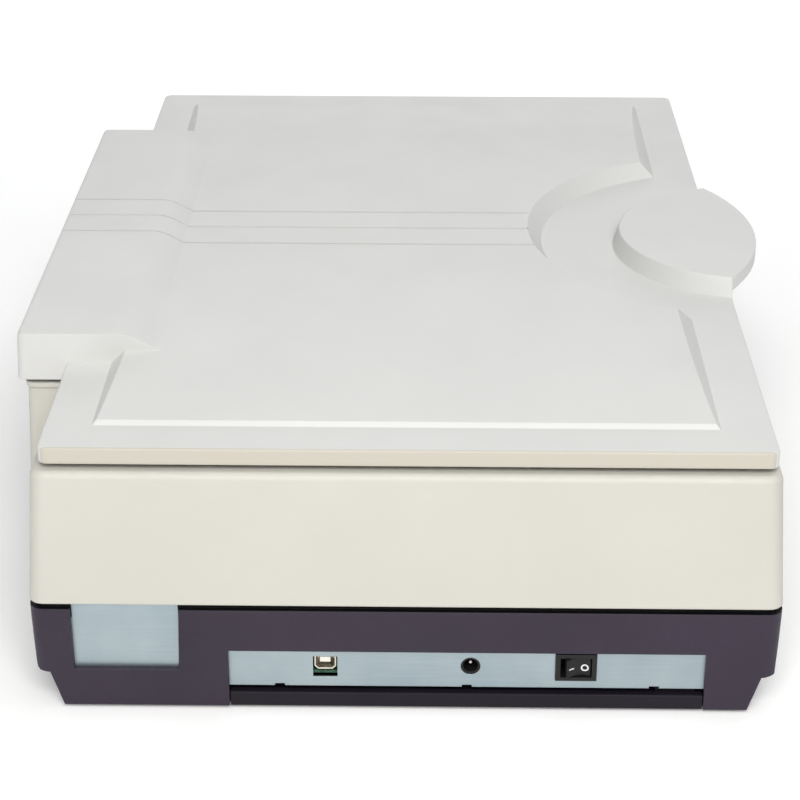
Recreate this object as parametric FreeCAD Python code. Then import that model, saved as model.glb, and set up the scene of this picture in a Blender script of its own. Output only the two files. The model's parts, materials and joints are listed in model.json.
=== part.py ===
import FreeCAD, Part
import math
import os

# Large-format flatbed scanner, millimetres, +Z up, feet on z = 0.
# X runs along the length with the connector end at -X; the hinge side is +Y and the handle side is -Y.
# Sizes are written about the casing's middle plane; save() moves every piece so that the whole
# object's box is centred on the origin.

V = FreeCAD.Vector

# ---- casing ----
HALF_LENGTH = 284.5
HALF_WIDTH = 192.4           # at the joint between the two housings
WALL = 3.0
FLOOR_Z = 2.2                # underside of the base, above the feet
FLOOR_TOP_Z = 6.0
BASE_TOP_Z = 60.0
HOUSING_BOTTOM_Z = 63.2
RIM_INSET = 3.2              # base rim that stands up inside the upper housing
RIM_Z = (54.0, 66.0)
HOUSING_TOP_Z = 138.0
HOUSING_TOP_HALF_LENGTH = 283.6
HOUSING_TOP_HALF_WIDTH = 186.8
CORNER_R = 8.0
TOP_EDGE_R = 4.0
STEP_Z = 22.0                # underside of the base's side step
STEP_TOP_Z = 26.0
STEP_HALF_WIDTH = 190.6
STEP_INNER_HALF_WIDTH = 183.6
KEEL_HALF_WIDTH = 177.4

# ---- openings in the connector end ----
PANEL_Y = (-154.7, 91.3)     # connector opening
PANEL_Z = (13.1, 35.8)
SILL_TOP_Z = 10.2
SILL_BACK_X = -279.2         # rear edge of the sill's top
BAY_Y = (116.9, 171.0)       # expansion opening, at its foot
BAY_TOP_Y = (115.2, 171.3)
BAY_Z = (24.0, 70.0)
PLATE_X = -HALF_LENGTH + WALL
PLATE_T = 1.2
CLIP_Y = (65.0, -32.0, -129.0)
USB_Y = 41.35
USB_Z = (22.6, 33.5)
USB_HALF_WIDTH = 5.6
USB_CUT_HALF = 6.3
USB_CUT_Z = (18.7, 31.0)
JACK_Y = -33.8
JACK_Z = 25.9
JACK_R = 5.0
SWITCH_Y = -88.2
SWITCH_Z = 26.3
BEZEL_HALF = (10.7, 8.0)
WELL_HALF = (8.1, 5.8)
ROCKER_HALF = (6.5, 5.5)
ROCKER_PIVOT_X = PLATE_X + 3.3
ROCKER_TILT = 13.0
BOARD_Z = (20.0, 21.6)
BOARD_X = (-279.8, -150.0)
BOARD_Y = (-68.0, 52.0)

# ---- lid ----
LID_HALF_LENGTH = 279.5
LID_Y = (-184.5, 182.5)
LID_BOTTOM_Z = 141.3
BORDER_Z = 150.0
LID_SKIN = 2.6
PANEL_HALF_LENGTH = 254.5    # foot of the raised panel
PANEL_SIDE_Y = (-158.0, 158.5)
CROWN_Z = 159.6
CROWN_END_Z = 152.0
BUMP_X = (-181.0, 151.0)
BUMP_Y = 210.0               # rear face at its foot
BUMP_DRAFT = 0.048           # lean of the rear face, run over rise
BUMP_BOTTOM_Z = 140.0
BUMP_TOP_Z = 167.0
BUMP_EDGE_R = 3.0
BUMP_CORNER_R = 5.0
BUMP_CURVE_Y = (125.0, 154.5)
BUMP_CURVE_END_Z = 157.2
GROOVE_X = (-32.0, -6.0, 20.0)
GROOVE_WIDTH = 2.0
GROOVE_DEPTH = 1.2
RECESS_X = -4.5
RECESS_Y = -200.9
RECESS_R = 122.0             # foot of the arc recess
RECESS_SLOPE = 0.88          # run over rise of its side
HANDLE_X = -11.2
HANDLE_Y = -200.0
HANDLE_FOOT_R = 78.0
HANDLE_TOP_R = 74.7
HANDLE_TOP_Z = 161.0
GRIP_Z = 153.0               # underside of the overhanging grip
GRIP_FRONT_Y = -206.5
GRIP_FRONT_R = 132.0

# ---- hinge ----
TOWER_X = (-179.5, 149.5)
TOWER_Y = (209.0, 205.0)      # rear face at the foot and at the top
TOWER_HOLLOW_Y = (180.0, 203.4)
TOWER_TOP_Z = 137.6
HINGE_Y = 202.0
HINGE_Z = 159.0
POST_X = (-145.0, 115.0)
POST_HALF_WIDTH = 8.0
POST_Y = (193.0, 201.0)
POST_BOTTOM_Z = 75.0
KNUCKLE_R = 4.2
HINGE_PIN_R = 2.0
SLIDE_GAP = 0.3
PIN_GAP = 0.05

# ---- platen and optics ----
GLASS_HALF = (226.0, 158.5)
WINDOW_HALF = (219.0, 151.5)
LEDGE_HALF = (230.0, 162.5)
GLASS_Z = (134.6, 137.6)
LEDGE_Z = (131.4, 134.4)
CARRIAGE_HOME_X = -228.0
CARRIAGE_HALF_X = 44.0
CARRIAGE_HALF_Y = 160.0
CARRIAGE_Z = (68.0, 129.0)
CARRIAGE_BASE_Z = 66.0
CARRIAGE_WALL = 2.5
ROD_Y = -140.0
ROD_Z = 58.0
ROD_R = 4.0
RAIL_TOP_Z = 57.0

# ---- drive ----
WHEEL_X = -250.0
IDLER_X = 258.0
BELT_Y = 110.0
BELT_Z = (55.2, 60.5)
PULLEY_TEETH = 20
PULLEY_R = 6.2
BELT_INNER_R = 6.5
BELT_T = 1.4
GEAR_MODULE = 0.8
GEAR_TEETH = 60
PINION_TEETH = 20
GEAR_Z = (49.0, 54.0)
MOTOR_Y = BELT_Y - GEAR_MODULE * (GEAR_TEETH + PINION_TEETH) / 2 - 0.1
BRACKET_Z = (46.0, 48.0)
AXLE_R = 2.5

MOTOR_SCREWS = [(-15.5, -15.5), (15.5, -15.5)]

# ---- transport lock and status lights ----
LOCK_X = -262.0
LIGHT_X = (200.0, 212.0)
LIGHT_Y = -189.2             # outer tip
LIGHT_Z = 110.0

BOSS_SITES = [(x, y) for x in (-268.0, -90.0, 90.0, 268.0) for y in (-168.0, 168.0)]
BOARD_SITES = [(x, y) for x in (-265.0, -158.0) for y in (-60.0, 26.0)]
LID_SCREW_SITES = [(x, y) for x in (-262.0, 262.0) for y in (-100.0, 100.0)]
LID_SCREW_SITES += [(x, y) for x in (-220.0, 220.0) for y in (-170.0, 170.0)]
SILL_TAB_Y = (-110.0, -30.0, 70.0)
FOOT_SITES = [(x, y) for x in (-240.0, 0.0, 240.0) for y in (-150.0, 150.0)]
CENTRE_Y = (BUMP_Y + GRIP_FRONT_Y) / 2


# ---- helpers ----
def block(x, y, z):
    """Box between the low and high values of each pair."""
    return Part.makeBox(x[1] - x[0], y[1] - y[0], z[1] - z[0], V(x[0], y[0], z[0]))


def around(centre, half):
    """Low and high values about a centre."""
    return (centre - half, centre + half)


def rod(radius, start, end):
    """Round bar between two points."""
    axis = V(*end).sub(V(*start))
    return Part.makeCylinder(radius, axis.Length, V(*start), axis)


def disc(radius, x, y, z):
    """Upright cylinder over a z range."""
    return rod(radius, (x, y, z[0]), (x, y, z[1]))


def join(shapes):
    """One solid from touching or overlapping solids."""
    return shapes[0].multiFuse(shapes[1:]).removeSplitter()


def prism(points, axis, start, end):
    """Extrude a closed outline of 2D points along an axis; the points fill the other two axes in order."""
    place = {
        "x": lambda a, b: V(start, a, b),
        "y": lambda a, b: V(a, start, b),
        "z": lambda a, b: V(a, b, start),
    }[axis]
    step = {"x": V(end - start, 0, 0), "y": V(0, end - start, 0), "z": V(0, 0, end - start)}[axis]
    corners = [place(a, b) for a, b in points]
    return Part.Face(Part.makePolygon(corners + corners[:1])).extrude(step)


def edges_where(shape, test):
    """Edges whose end points all pass the test."""
    return [edge for edge in shape.Edges if all(test(vertex.Point) for vertex in edge.Vertexes)]


def upright_edges(shape):
    """Edges that run along Z, or within a small draft angle of it."""
    found = []
    for edge in shape.Edges:
        if len(edge.Vertexes) == 2:
            along = edge.Vertexes[1].Point.sub(edge.Vertexes[0].Point)
            if abs(along.x) + abs(along.y) < 0.1 * abs(along.z):
                found.append(edge)
    return found


def rounded_block(x, y, z, radius):
    """Box with rounded upright edges."""
    solid = block(x, y, z)
    return solid.makeFillet(radius, upright_edges(solid))


def rounded_rectangle(half_x, half_y, radius, z):
    """Closed wire of four lines and four arcs about the Z axis."""
    edges = []
    corners = [(1, 1, 0), (-1, 1, 90), (-1, -1, 180), (1, -1, 270)]
    for index, (sx, sy, turn) in enumerate(corners):
        centre = V(sx * (half_x - radius), sy * (half_y - radius), z)
        circle = Part.Circle(centre, V(0, 0, 1), radius)
        edges.append(Part.Arc(circle, math.radians(turn), math.radians(turn + 90)).toShape())
        nx, ny, next_turn = corners[(index + 1) % 4]
        start_angle = math.radians(turn + 90)
        start = centre.add(V(radius * math.cos(start_angle), radius * math.sin(start_angle), 0))
        next_angle = math.radians(next_turn)
        end = V(nx * (half_x - radius), ny * (half_y - radius), z)
        end = end.add(V(radius * math.cos(next_angle), radius * math.sin(next_angle), 0))
        edges.append(Part.makeLine(start, end))
    return Part.Wire(edges)


def tapered_block(low, high, radius):
    """Solid between two rounded rectangles, each given as (half_x, half_y, z)."""
    wires = [rounded_rectangle(half_x, half_y, radius, z) for half_x, half_y, z in (low, high)]
    return Part.makeLoft(wires, True, True)


def screw(x, y, seat_z, length, up=1, radius=1.5):
    """Pan-head screw with a cross recess; the shank runs up (1) or down (-1) from the seat."""
    head_r = radius * 1.85
    head_h = radius * 1.2
    head = rod(head_r, (x, y, seat_z - up * head_h), (x, y, seat_z))
    shank = rod(radius, (x, y, seat_z), (x, y, seat_z + up * length))
    solid = join([head, shank])
    slot_z = sorted((seat_z - up * head_h, seat_z - up * head_h * 0.4))
    for half_x, half_y in ((head_r * 0.6, radius * 0.2), (radius * 0.2, head_r * 0.6)):
        solid = solid.cut(block(around(x, half_x), around(y, half_y), slot_z))
    return solid


def save(node, solids):
    """Write one node, moved so that the object's box is centred on the origin."""
    shapes = solids if isinstance(solids, list) else [solids]
    moved = [shape.translated(V(0, -CENTRE_Y, 0)) for shape in shapes]
    whole = moved[0] if len(moved) == 1 else Part.makeCompound(moved)
    for solid in whole.Solids:
        if not solid.isValid():
            print("invalid solid in", node)
    print(f"{node:24s} solids {len(whole.Solids):3d} volume {whole.Volume / 1000:10.2f} cm3")
    whole.exportStep("parts/" + node + ".step")


# ---- lower casing ----
def base_section(inset, floor):
    """Outline of the base across its width; the rear step is rounded and the front step is sharp."""
    top = BASE_TOP_Z + inset
    side = 1.06 * inset
    rear = [
        (KEEL_HALF_WIDTH - side, floor),
        (STEP_INNER_HALF_WIDTH - side, STEP_Z + inset),
        (STEP_HALF_WIDTH - 1.6 - side, STEP_Z + 0.6 + inset),
        (STEP_HALF_WIDTH - 0.3 - side, STEP_Z + 2.0 + inset),
        (STEP_HALF_WIDTH - side, STEP_TOP_Z + inset),
        (HALF_WIDTH - side, top),
    ]
    front = [
        (-HALF_WIDTH + side, top),
        (-STEP_HALF_WIDTH + side, STEP_Z + 1.0 + inset),
        (-STEP_INNER_HALF_WIDTH + side, STEP_Z + inset),
        (-KEEL_HALF_WIDTH + side, floor),
    ]
    return rear + front


def base_housing():
    outline = rounded_block(
        around(0, HALF_LENGTH), around(0, HALF_WIDTH), (FLOOR_Z, BASE_TOP_Z), CORNER_R)
    outer = prism(base_section(0, FLOOR_Z), "x", -HALF_LENGTH, HALF_LENGTH).common(outline)
    hollow = prism(base_section(WALL, FLOOR_TOP_Z), "x", -HALF_LENGTH + WALL, HALF_LENGTH - WALL)
    tub = outer.cut(hollow)
    rim_outer = rounded_block(
        around(0, HALF_LENGTH - RIM_INSET), around(0, HALF_WIDTH - RIM_INSET), RIM_Z, 5.0)
    rim_hollow = rounded_block(
        around(0, HALF_LENGTH - RIM_INSET - 2.2), around(0, HALF_WIDTH - RIM_INSET - 2.2),
        (RIM_Z[0] - 1, RIM_Z[1] + 1), 3.0)
    bosses = [disc(5.5, x, y, (FLOOR_Z, 60.0)) for x, y in BOSS_SITES]
    posts = [disc(3.5, x, y, (FLOOR_Z + 1, BOARD_Z[0])) for x, y in BOARD_SITES]
    spring_stop = block((232.0, 236.0), around(BELT_Y, 10.0), (FLOOR_Z + 1, 40.0))
    solid = join([tub, rim_outer.cut(rim_hollow), spring_stop] + bosses + posts)
    bay = [(BAY_Y[0], BAY_Z[0]), (BAY_Y[1], BAY_Z[0]), (BAY_TOP_Y[1], BAY_Z[1]), (BAY_TOP_Y[0], BAY_Z[1])]
    solid = solid.cut(prism(bay, "x", -290.0, -276.0))
    solid = solid.cut(block((-290.0, PLATE_X + 1.0), PANEL_Y, (0.0, PANEL_Z[1])))
    for x, y in BOSS_SITES:
        solid = solid.cut(disc(4.0, x, y, (0.0, 48.0)))
        solid = solid.cut(disc(2.2, x, y, (47.0, 61.0)))
    for x, y in BOARD_SITES:
        solid = solid.cut(disc(1.5, x, y, (12.0, 20.0)))
    for x, y in FOOT_SITES:
        solid = solid.cut(disc(3.0, x, y, (2.0, 7.0)))
    for y in SILL_TAB_Y:
        solid = solid.cut(disc(1.5, -270.0, y, (FLOOR_Z, 7.0)))
    return solid


def rubber_foot(x, y):
    pad = disc(10.0, x, y, (0.0, FLOOR_Z))
    pad = pad.makeFillet(0.8, edges_where(pad, lambda p: p.z < 0.01))
    return join([pad, disc(3.0, x, y, (FLOOR_Z, 7.0))])


def io_sill_bar():
    """Bar that closes the wall below the connector opening, with screw tabs over the floor."""
    y = (PANEL_Y[0] + 0.5, PANEL_Y[1] - 0.5)
    bar = block((-HALF_LENGTH + 0.6, -281.0), y, (FLOOR_Z, SILL_TOP_Z))
    bar = bar.makeFillet(0.6, edges_where(bar, lambda p: p.x < -283.0 and p.z > SILL_TOP_Z - 0.01))
    ledge = block((-281.0, SILL_BACK_X), y, (FLOOR_TOP_Z, SILL_TOP_Z))
    tab_z = (FLOOR_TOP_Z, FLOOR_TOP_Z + 2.5)
    tabs = [block((SILL_BACK_X, -262.0), around(tab_y, 10.0), tab_z) for tab_y in SILL_TAB_Y]
    solid = join([bar, ledge] + tabs)
    for tab_y in SILL_TAB_Y:
        solid = solid.cut(disc(1.6, -270.0, tab_y, (5.0, 9.0)))
    return solid


def io_panel_plate():
    """Sheet steel plate behind the connector opening, with its cut-outs and three clip notches."""
    x = (PLATE_X, PLATE_X + PLATE_T)
    plate = block(x, (PANEL_Y[0] - 3.0, PANEL_Y[1] + 3.0), (PANEL_Z[0], 40.0))
    plate = plate.cut(block(x, around(USB_Y, USB_CUT_HALF), USB_CUT_Z))
    plate = plate.cut(rod(JACK_R + 0.1, (x[0] - 1, JACK_Y, JACK_Z), (x[1] + 1, JACK_Y, JACK_Z)))
    plate = plate.cut(block(x, around(SWITCH_Y, 10.1), around(SWITCH_Z, 7.3)))
    for y in CLIP_Y:
        plate = plate.cut(block(x, around(y, 2.6), (PANEL_Z[0], PANEL_Z[0] + 1.2)))
    flange = block((x[1], -268.0), (-128.0, -106.0), (38.8, 40.0))
    return join([plate, flange])


def expansion_cover_plate():
    """Sheet steel cover behind the corner opening, with a folded edge and a tongue up into the rim's gap."""
    x = (PLATE_X, PLATE_X + 1.0)
    plate_z = (BAY_Z[0] - 4.0, RIM_Z[0] - 0.5)
    plate = block(x, (BAY_Y[0] - 3.0, BAY_Y[1] + 3.0), plate_z)
    tongue = block(x, (BAY_Y[0] - 0.8, BAY_Y[1] - 0.2), (plate_z[1], HOUSING_BOTTOM_Z))
    fold = block((x[1], x[1] + 1.5), (BAY_Y[0] - 3.0, BAY_Y[0] - 2.0), plate_z)
    return join([plate, tongue, fold])


# ---- connectors ----
def usb_outline(margin):
    """Type-B outline across Y and Z, with the two lower corners cut off."""
    half = USB_HALF_WIDTH - margin
    low = USB_Z[0] + margin
    high = USB_Z[1] - margin
    bevel = 1.9 - 0.4 * margin
    return [
        (USB_Y - half + bevel, low), (USB_Y + half - bevel, low), (USB_Y + half, low + bevel),
        (USB_Y + half, high), (USB_Y - half, high), (USB_Y - half, low + bevel),
    ]


def usb_socket_shell():
    """Square tube with two legs down to the board."""
    outer = prism(usb_outline(0), "x", PLATE_X + PLATE_T + 0.05, -265.0)
    inner = prism(usb_outline(0.7), "x", -282.0, -266.5)
    leg_y = USB_HALF_WIDTH - 0.4
    leg_z = (BOARD_Z[1], USB_Z[0] + 4.0)
    legs = [block((-274.0, -268.0), around(USB_Y + side * leg_y, 0.4), leg_z) for side in (-1, 1)]
    return join([outer.cut(inner)] + legs)


def usb_socket_tongue():
    tongue = block((-280.8, -266.5), around(USB_Y, 2.8), (27.2, 30.4))
    return tongue.makeFillet(0.4, edges_where(tongue, lambda p: p.x < -280.5))


def dc_jack_body():
    body = block((PLATE_X + PLATE_T, -266.0), around(JACK_Y, 4.8), (BOARD_Z[1], 31.6))
    nose = rod(JACK_R, (PLATE_X + 0.5, JACK_Y, JACK_Z), (-280.0, JACK_Y, JACK_Z))
    solid = join([body, nose])
    return solid.cut(rod(3.9, (-285.0, JACK_Y, JACK_Z), (-270.0, JACK_Y, JACK_Z)))


def dc_jack_pin():
    pin = rod(1.0, (-278.0, JACK_Y, JACK_Z), (-270.0, JACK_Y, JACK_Z))
    return pin.makeFillet(0.5, edges_where(pin, lambda p: p.x < -277.0))


def switch_bezel():
    """Rocker switch frame: a rim on the plate and a box behind it with the rocker's bearing holes."""
    front = PLATE_X
    rim = block((front - 2.0, front), around(SWITCH_Y, BEZEL_HALF[0]), around(SWITCH_Z, BEZEL_HALF[1]))
    rim = rim.makeFillet(0.6, edges_where(rim, lambda p: p.x < front - 1.9))
    body = block((front, front + 13.0), around(SWITCH_Y, 9.95), around(SWITCH_Z, 7.2))
    solid = join([rim, body])
    well = block((front - 3.0, front + 11.5), around(SWITCH_Y, WELL_HALF[0]), around(SWITCH_Z, WELL_HALF[1]))
    bearing = disc(1.25, ROCKER_PIVOT_X, SWITCH_Y, around(SWITCH_Z, 6.8))
    solid = solid.cut(well).cut(bearing)
    terminals = [
        block((front + 13.0, front + 20.0), around(SWITCH_Y + y, 0.4), around(SWITCH_Z, 2.4))
        for y in (-5.0, 5.0)
    ]
    return join([solid] + terminals)


def switch_rocker():
    """Rocker with a hollow face, tipped so that its -Y half is pressed in."""
    half_y, half_z = ROCKER_HALF
    face_x = PLATE_X - 2.9
    ends = [V(face_x, SWITCH_Y + side * half_y, SWITCH_Z - half_z) for side in (1, -1)]
    face = Part.Arc(ends[0], V(PLATE_X - 0.7, SWITCH_Y, SWITCH_Z - half_z), ends[1]).toShape()
    lower = [
        V(PLATE_X + depth, SWITCH_Y + y, SWITCH_Z - half_z)
        for depth, y in ((0.5, -half_y), (6.0, -3.0), (6.0, 3.0), (0.5, half_y))
    ]
    sides = Part.makePolygon([ends[1]] + lower + [ends[0]]).Edges
    rocker = Part.Face(Part.Wire([face] + sides)).extrude(V(0, 0, 2 * half_z))
    rocker = rocker.makeFillet(0.4, edges_where(rocker, lambda p: p.x < face_x + 0.1))
    solid = join([rocker, disc(1.2, ROCKER_PIVOT_X, SWITCH_Y, around(SWITCH_Z, 6.7))])
    solid.rotate(V(ROCKER_PIVOT_X, SWITCH_Y, 0), V(0, 0, 1), ROCKER_TILT)
    return solid


# ---- electronics ----
def main_board():
    board = block(BOARD_X, BOARD_Y, BOARD_Z)
    for x, y in BOARD_SITES:
        board = board.cut(disc(1.6, x, y, (18.0, 22.0)))
    return board


def board_chips():
    z = BOARD_Z[1]
    sites = [
        (-225.0, 20.0, 14.0), (-225.0, -28.0, 10.0), (-190.0, 18.0, 9.0),
        (-190.0, -20.0, 7.0), (-250.0, 14.0, 5.0),
    ]
    return [block(around(x, half), around(y, half), (z, z + 2.2)) for x, y, half in sites]


def board_capacitors():
    z = BOARD_Z[1]
    cans = []
    for x, y in ((-256.0, -46.0), (-243.0, -46.0), (-230.0, -50.0), (-172.0, 40.0)):
        can = disc(4.0, x, y, (z, z + 10.0))
        cans.append(can.makeFillet(0.6, edges_where(can, lambda p: p.z > z + 9.0)))
    return cans


def board_connectors():
    z = BOARD_Z[1]
    sockets = []
    sites = ((-156.0, 4.0, 3.0, 14.0), (-158.0, -36.0, 3.0, 8.0), (-205.0, 46.0, 12.0, 3.0))
    for x, y, half_x, half_y in sites:
        shell = block(around(x, half_x), around(y, half_y), (z, z + 6.0))
        slot = block(around(x, half_x - 1.0), around(y, half_y - 1.0), (z + 1.5, z + 7.0))
        sockets.append(shell.cut(slot))
    return sockets


# ---- upper casing ----
def upper_housing():
    """Light casing with the platen window, glass ledge, lock cup, post tower and screw bosses."""
    outer = tapered_block(
        (HALF_LENGTH, HALF_WIDTH, HOUSING_BOTTOM_Z),
        (HOUSING_TOP_HALF_LENGTH, HOUSING_TOP_HALF_WIDTH, HOUSING_TOP_Z), CORNER_R)
    outer = outer.makeFillet(TOP_EDGE_R, edges_where(outer, lambda p: p.z > HOUSING_TOP_Z - 0.01))
    hollow = tapered_block(
        (HALF_LENGTH - WALL, HALF_WIDTH - WALL, HOUSING_BOTTOM_Z - 0.01),
        (HOUSING_TOP_HALF_LENGTH - WALL, HOUSING_TOP_HALF_WIDTH - WALL, HOUSING_TOP_Z - WALL),
        CORNER_R - WALL)
    root_y = 178.0
    tower_section = [
        (root_y, HOUSING_BOTTOM_Z), (TOWER_Y[0], HOUSING_BOTTOM_Z),
        (TOWER_Y[1], TOWER_TOP_Z), (root_y, TOWER_TOP_Z),
    ]
    tower = prism(tower_section, "x", TOWER_X[0], TOWER_X[1])
    tower = tower.makeFillet(5.0, [edge for edge in upright_edges(tower) if edge.Vertexes[0].Point.y > 200.0])
    lip = rounded_block(
        (TOWER_X[0] - 1.0, TOWER_X[1] + 1.0), (root_y, TOWER_Y[1] + 1.2),
        (TOWER_TOP_Z - 2.6, TOWER_TOP_Z), 6.0)
    tower_hollow = block(
        (TOWER_X[0] + WALL, TOWER_X[1] - WALL), TOWER_HOLLOW_Y, (HOUSING_BOTTOM_Z - 1, TOWER_TOP_Z - WALL))
    solid = join([outer, tower, lip]).cut(hollow).cut(tower_hollow)
    ledge = block(around(0, LEDGE_HALF[0]), around(0, LEDGE_HALF[1]), (LEDGE_Z[0], HOUSING_TOP_Z - 1.0))
    cup = disc(14.0, LOCK_X, 0.0, (LEDGE_Z[0], HOUSING_TOP_Z - 1.0))
    bosses = [disc(5.0, x, y, (60.0, HOUSING_TOP_Z - 2.0)) for x, y in BOSS_SITES]
    solid = join([solid, ledge, cup] + bosses)
    glass_pocket = block(around(0, GLASS_HALF[0] + 0.3), around(0, GLASS_HALF[1] + 0.3), (LEDGE_Z[1], 140.0))
    solid = solid.cut(glass_pocket)
    solid = solid.cut(block(around(0, WINDOW_HALF[0]), around(0, WINDOW_HALF[1]), (130.0, 140.0)))
    solid = solid.cut(disc(11.4, LOCK_X, 0.0, (134.6, 140.0)))
    solid = solid.cut(disc(4.08, LOCK_X, 0.0, (130.0, 140.0)))
    for x, y in BOSS_SITES:
        solid = solid.cut(disc(2.0, x, y, (59.0, 72.0)))
    for x in POST_X:
        hole_x = around(x, POST_HALF_WIDTH + SLIDE_GAP)
        solid = solid.cut(block(hole_x, (POST_Y[0] - SLIDE_GAP, POST_Y[1] + SLIDE_GAP), (130.0, 140.0)))
    for x in LIGHT_X:
        solid = solid.cut(rod(2.0, (x, -195.0, LIGHT_Z), (x, -180.0, LIGHT_Z)))
    return solid


def light_pipe(x):
    stem = rod(2.0, (x, LIGHT_Y, LIGHT_Z), (x, LIGHT_Y + 7.5, LIGHT_Z))
    flange = rod(3.2, (x, LIGHT_Y + 4.1, LIGHT_Z), (x, LIGHT_Y + 5.5, LIGHT_Z))
    stem = stem.makeFillet(0.5, edges_where(stem, lambda p: p.y < LIGHT_Y + 0.1))
    return join([stem, flange])


def post_socket(x):
    """Sleeve inside the tower that a hinge post slides in."""
    sleeve = block(
        around(x, POST_HALF_WIDTH + SLIDE_GAP + 2.0), (POST_Y[0] - 2.3, POST_Y[1] + 2.3),
        (71.0, TOWER_TOP_Z - WALL))
    bore = block(
        around(x, POST_HALF_WIDTH + SLIDE_GAP), (POST_Y[0] - SLIDE_GAP, POST_Y[1] + SLIDE_GAP), (73.0, 140.0))
    return sleeve.cut(bore)


def platen_glass():
    glass = block(around(0, GLASS_HALF[0]), around(0, GLASS_HALF[1]), GLASS_Z)
    return glass.makeChamfer(0.4, edges_where(glass, lambda p: p.z > GLASS_Z[1] - 0.01))


def platen_gasket():
    outer = block(around(0, GLASS_HALF[0]), around(0, GLASS_HALF[1]), (LEDGE_Z[1], GLASS_Z[0]))
    return outer.cut(block(around(0, WINDOW_HALF[0]), around(0, WINDOW_HALF[1]), (130.0, 140.0)))


def calibration_strip():
    return block((-229.5, -219.5), around(0, 150.0), (LEDGE_Z[0] - 0.6, LEDGE_Z[0]))


# ---- guides ----
def rod_holder(side):
    x = sorted((side * 272.6, side * 279.0))
    body = block(x, around(ROD_Y, 10.0), (FLOOR_TOP_Z, 66.0))
    body = body.makeFillet(3.0, edges_where(body, lambda p: p.z > 65.0 and abs(p.x) < 273.0))
    return body.cut(rod(ROD_R, (side * 270.0, ROD_Y, ROD_Z), (side * 276.0, ROD_Y, ROD_Z)))


def guide_rail():
    """Folded steel rail under the free end of the carriage."""
    x = (-272.0, 272.0)
    top = block(x, (143.0, 158.0), (RAIL_TOP_Z - 2.0, RAIL_TOP_Z))
    web = block(x, (156.0, 158.0), (FLOOR_TOP_Z, RAIL_TOP_Z))
    foot = block(x, (143.0, 158.0), (FLOOR_TOP_Z, FLOOR_TOP_Z + 2.0))
    rail = join([top, web, foot])
    for x_foot, y_foot in FOOT_SITES:
        rail = rail.cut(disc(4.0, x_foot, y_foot, (5.0, 9.0)))
    return rail


# ---- drive ----
def involute_point(base_r, angle):
    """Point on the involute of a circle."""
    return (
        base_r * (math.cos(angle) + angle * math.sin(angle)),
        base_r * (math.sin(angle) - angle * math.cos(angle)),
    )


def gear(teeth, x, y, z, bore_r, phase):
    """Spur gear with 20 degree involute teeth, thinned by 0.1 mm for backlash."""
    pitch_r = GEAR_MODULE * teeth / 2
    base_r = pitch_r * math.cos(math.radians(20))
    tip_r = pitch_r + 0.9 * GEAR_MODULE
    root_r = pitch_r - 1.25 * GEAR_MODULE
    start_r = max(base_r, root_r)
    roll_start = math.sqrt((start_r / base_r) ** 2 - 1)
    roll_end = math.sqrt((tip_r / base_r) ** 2 - 1)
    roll_pitch = math.tan(math.radians(20))
    pitch_polar = roll_pitch - math.radians(20)
    half_tooth = math.pi / (2 * teeth) - 0.05 / pitch_r
    flank = []
    for step in range(5):
        px, py = involute_point(base_r, roll_start + (roll_end - roll_start) * step / 4)
        radius = math.hypot(px, py)
        flank.append((radius, half_tooth + pitch_polar - math.atan2(py, px)))
    edges = []
    for tooth in range(teeth):
        centre = 2 * math.pi * tooth / teeth + math.radians(phase)
        gap_end = centre + 2 * math.pi / teeth

        def at(radius, angle):
            return V(x + radius * math.cos(angle), y + radius * math.sin(angle), z[0])

        rising = [at(radius, centre - angle) for radius, angle in flank]
        falling = [at(radius, centre + angle) for radius, angle in reversed(flank)]
        root_angle = flank[0][1]
        root_start = at(root_r, centre + root_angle)
        root_end = at(root_r, gap_end - root_angle)
        next_start = at(flank[0][0], gap_end - root_angle)
        for points in (rising, falling):
            curve = Part.BSplineCurve()
            curve.interpolate(points)
            edges.append(curve.toShape())
            if points is rising:
                edges.append(Part.Arc(rising[-1], at(tip_r, centre), falling[0]).toShape())
        if falling[-1].distanceToPoint(root_start) > 1e-6:
            edges.append(Part.makeLine(falling[-1], root_start))
        edges.append(Part.Arc(root_start, at(root_r, centre + math.pi / teeth), root_end).toShape())
        if root_end.distanceToPoint(next_start) > 1e-6:
            edges.append(Part.makeLine(root_end, next_start))
    blank = Part.Face(Part.Wire(edges)).extrude(V(0, 0, z[1] - z[0]))
    return blank.cut(disc(bore_r, x, y, (z[0] - 1, z[1] + 1)))


def reduction_gear():
    wheel = gear(GEAR_TEETH, WHEEL_X, BELT_Y, GEAR_Z, AXLE_R + PIN_GAP, 0.0)
    for step in range(6):
        angle = math.radians(60 * step + 30)
        x = WHEEL_X + 15.0 * math.cos(angle)
        y = BELT_Y + 15.0 * math.sin(angle)
        wheel = wheel.cut(disc(4.5, x, y, (GEAR_Z[0] - 1, GEAR_Z[1] + 1)))
    return wheel


def motor_pinion():
    return gear(PINION_TEETH, WHEEL_X, MOTOR_Y, (49.3, 54.3), AXLE_R, 180.0 / PINION_TEETH)


def toothed_pulley(x, bottom_z):
    """Flanged belt pulley with grooves for the belt's teeth."""
    body = disc(PULLEY_R, x, BELT_Y, (bottom_z, 61.4))
    for tooth in range(PULLEY_TEETH):
        angle = 2 * math.pi * tooth / PULLEY_TEETH
        groove = disc(0.45, x + PULLEY_R * math.cos(angle), BELT_Y + PULLEY_R * math.sin(angle), (54.8, 60.9))
        body = body.cut(groove)
    flanges = [disc(8.0, x, BELT_Y, (bottom_z, 54.8)), disc(8.0, x, BELT_Y, (60.9, 61.4))]
    solid = join([body] + flanges)
    return solid.cut(disc(AXLE_R + PIN_GAP, x, BELT_Y, (50.0, 63.0)))


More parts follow.
